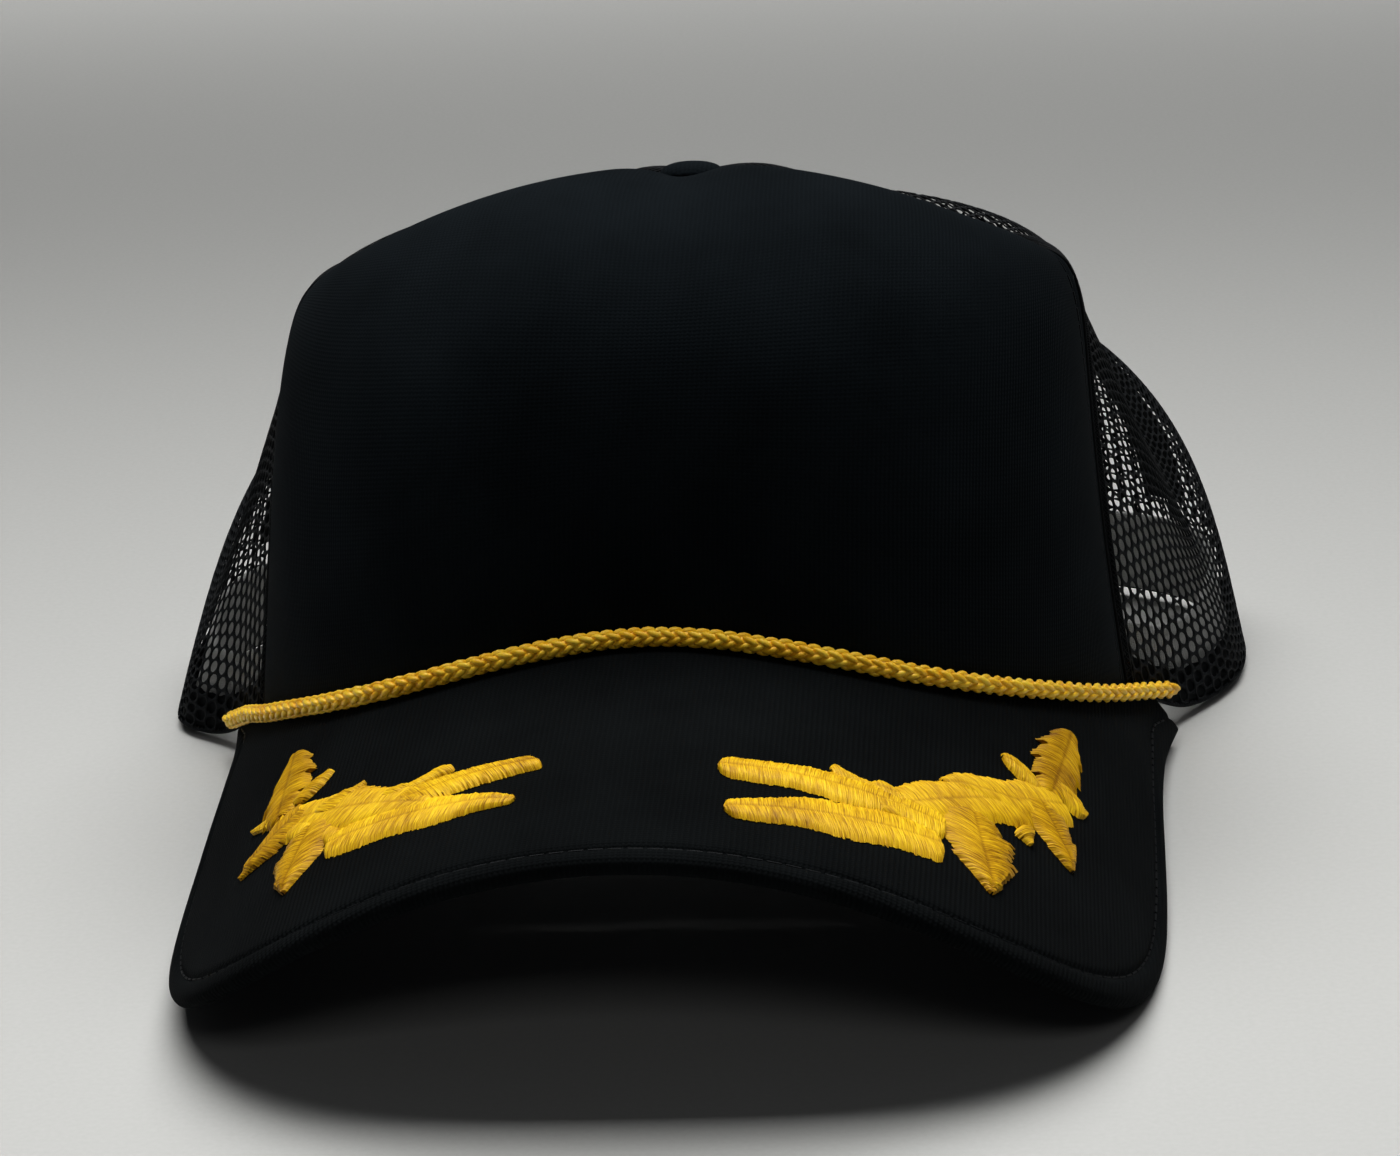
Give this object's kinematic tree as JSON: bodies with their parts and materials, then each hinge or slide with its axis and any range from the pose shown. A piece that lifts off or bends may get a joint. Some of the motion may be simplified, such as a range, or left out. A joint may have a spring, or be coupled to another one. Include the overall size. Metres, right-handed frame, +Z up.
{
  "type": "trucker cap",
  "caption": "Black trucker cap with a tall foam front, net sides and back, a curved brim with gold rope and gold oak-leaf embroidery, and a fastened snap strap.",
  "frame": {"origin": "middle of the footprint, on the surface that the cap rests on", "axes": "+Z up, brim toward -Y, +X to the wearer's left"},
  "size_m": [0.2178, 0.2584, 0.1242],
  "materials": {
    "foam_cloth": "fine jersey knit over foam",
    "net": "knitted nylon net",
    "brim_cloth": "fine ribbed knit",
    "tape": "woven tape",
    "gold_rope": "braided cord with a sheen",
    "gold_thread": "satin stitched thread",
    "snap_plastic": "moulded"
  },
  "bodies": {
    "root": {"front_panel": "foam_cloth", "side_mesh_left": "net", "side_mesh_right": "net", "back_mesh_left": "net", "back_mesh_right": "net", "sweatband": "tape", "opening_binding": "tape", "top_button": "foam_cloth", "brim": "brim_cloth", "rope": "gold_rope", "embroidery_left": "gold_thread", "embroidery_right": "gold_thread", "strap_with_holes": "snap_plastic", "strap_with_pegs": "snap_plastic"}
  },
  "joints": []
}
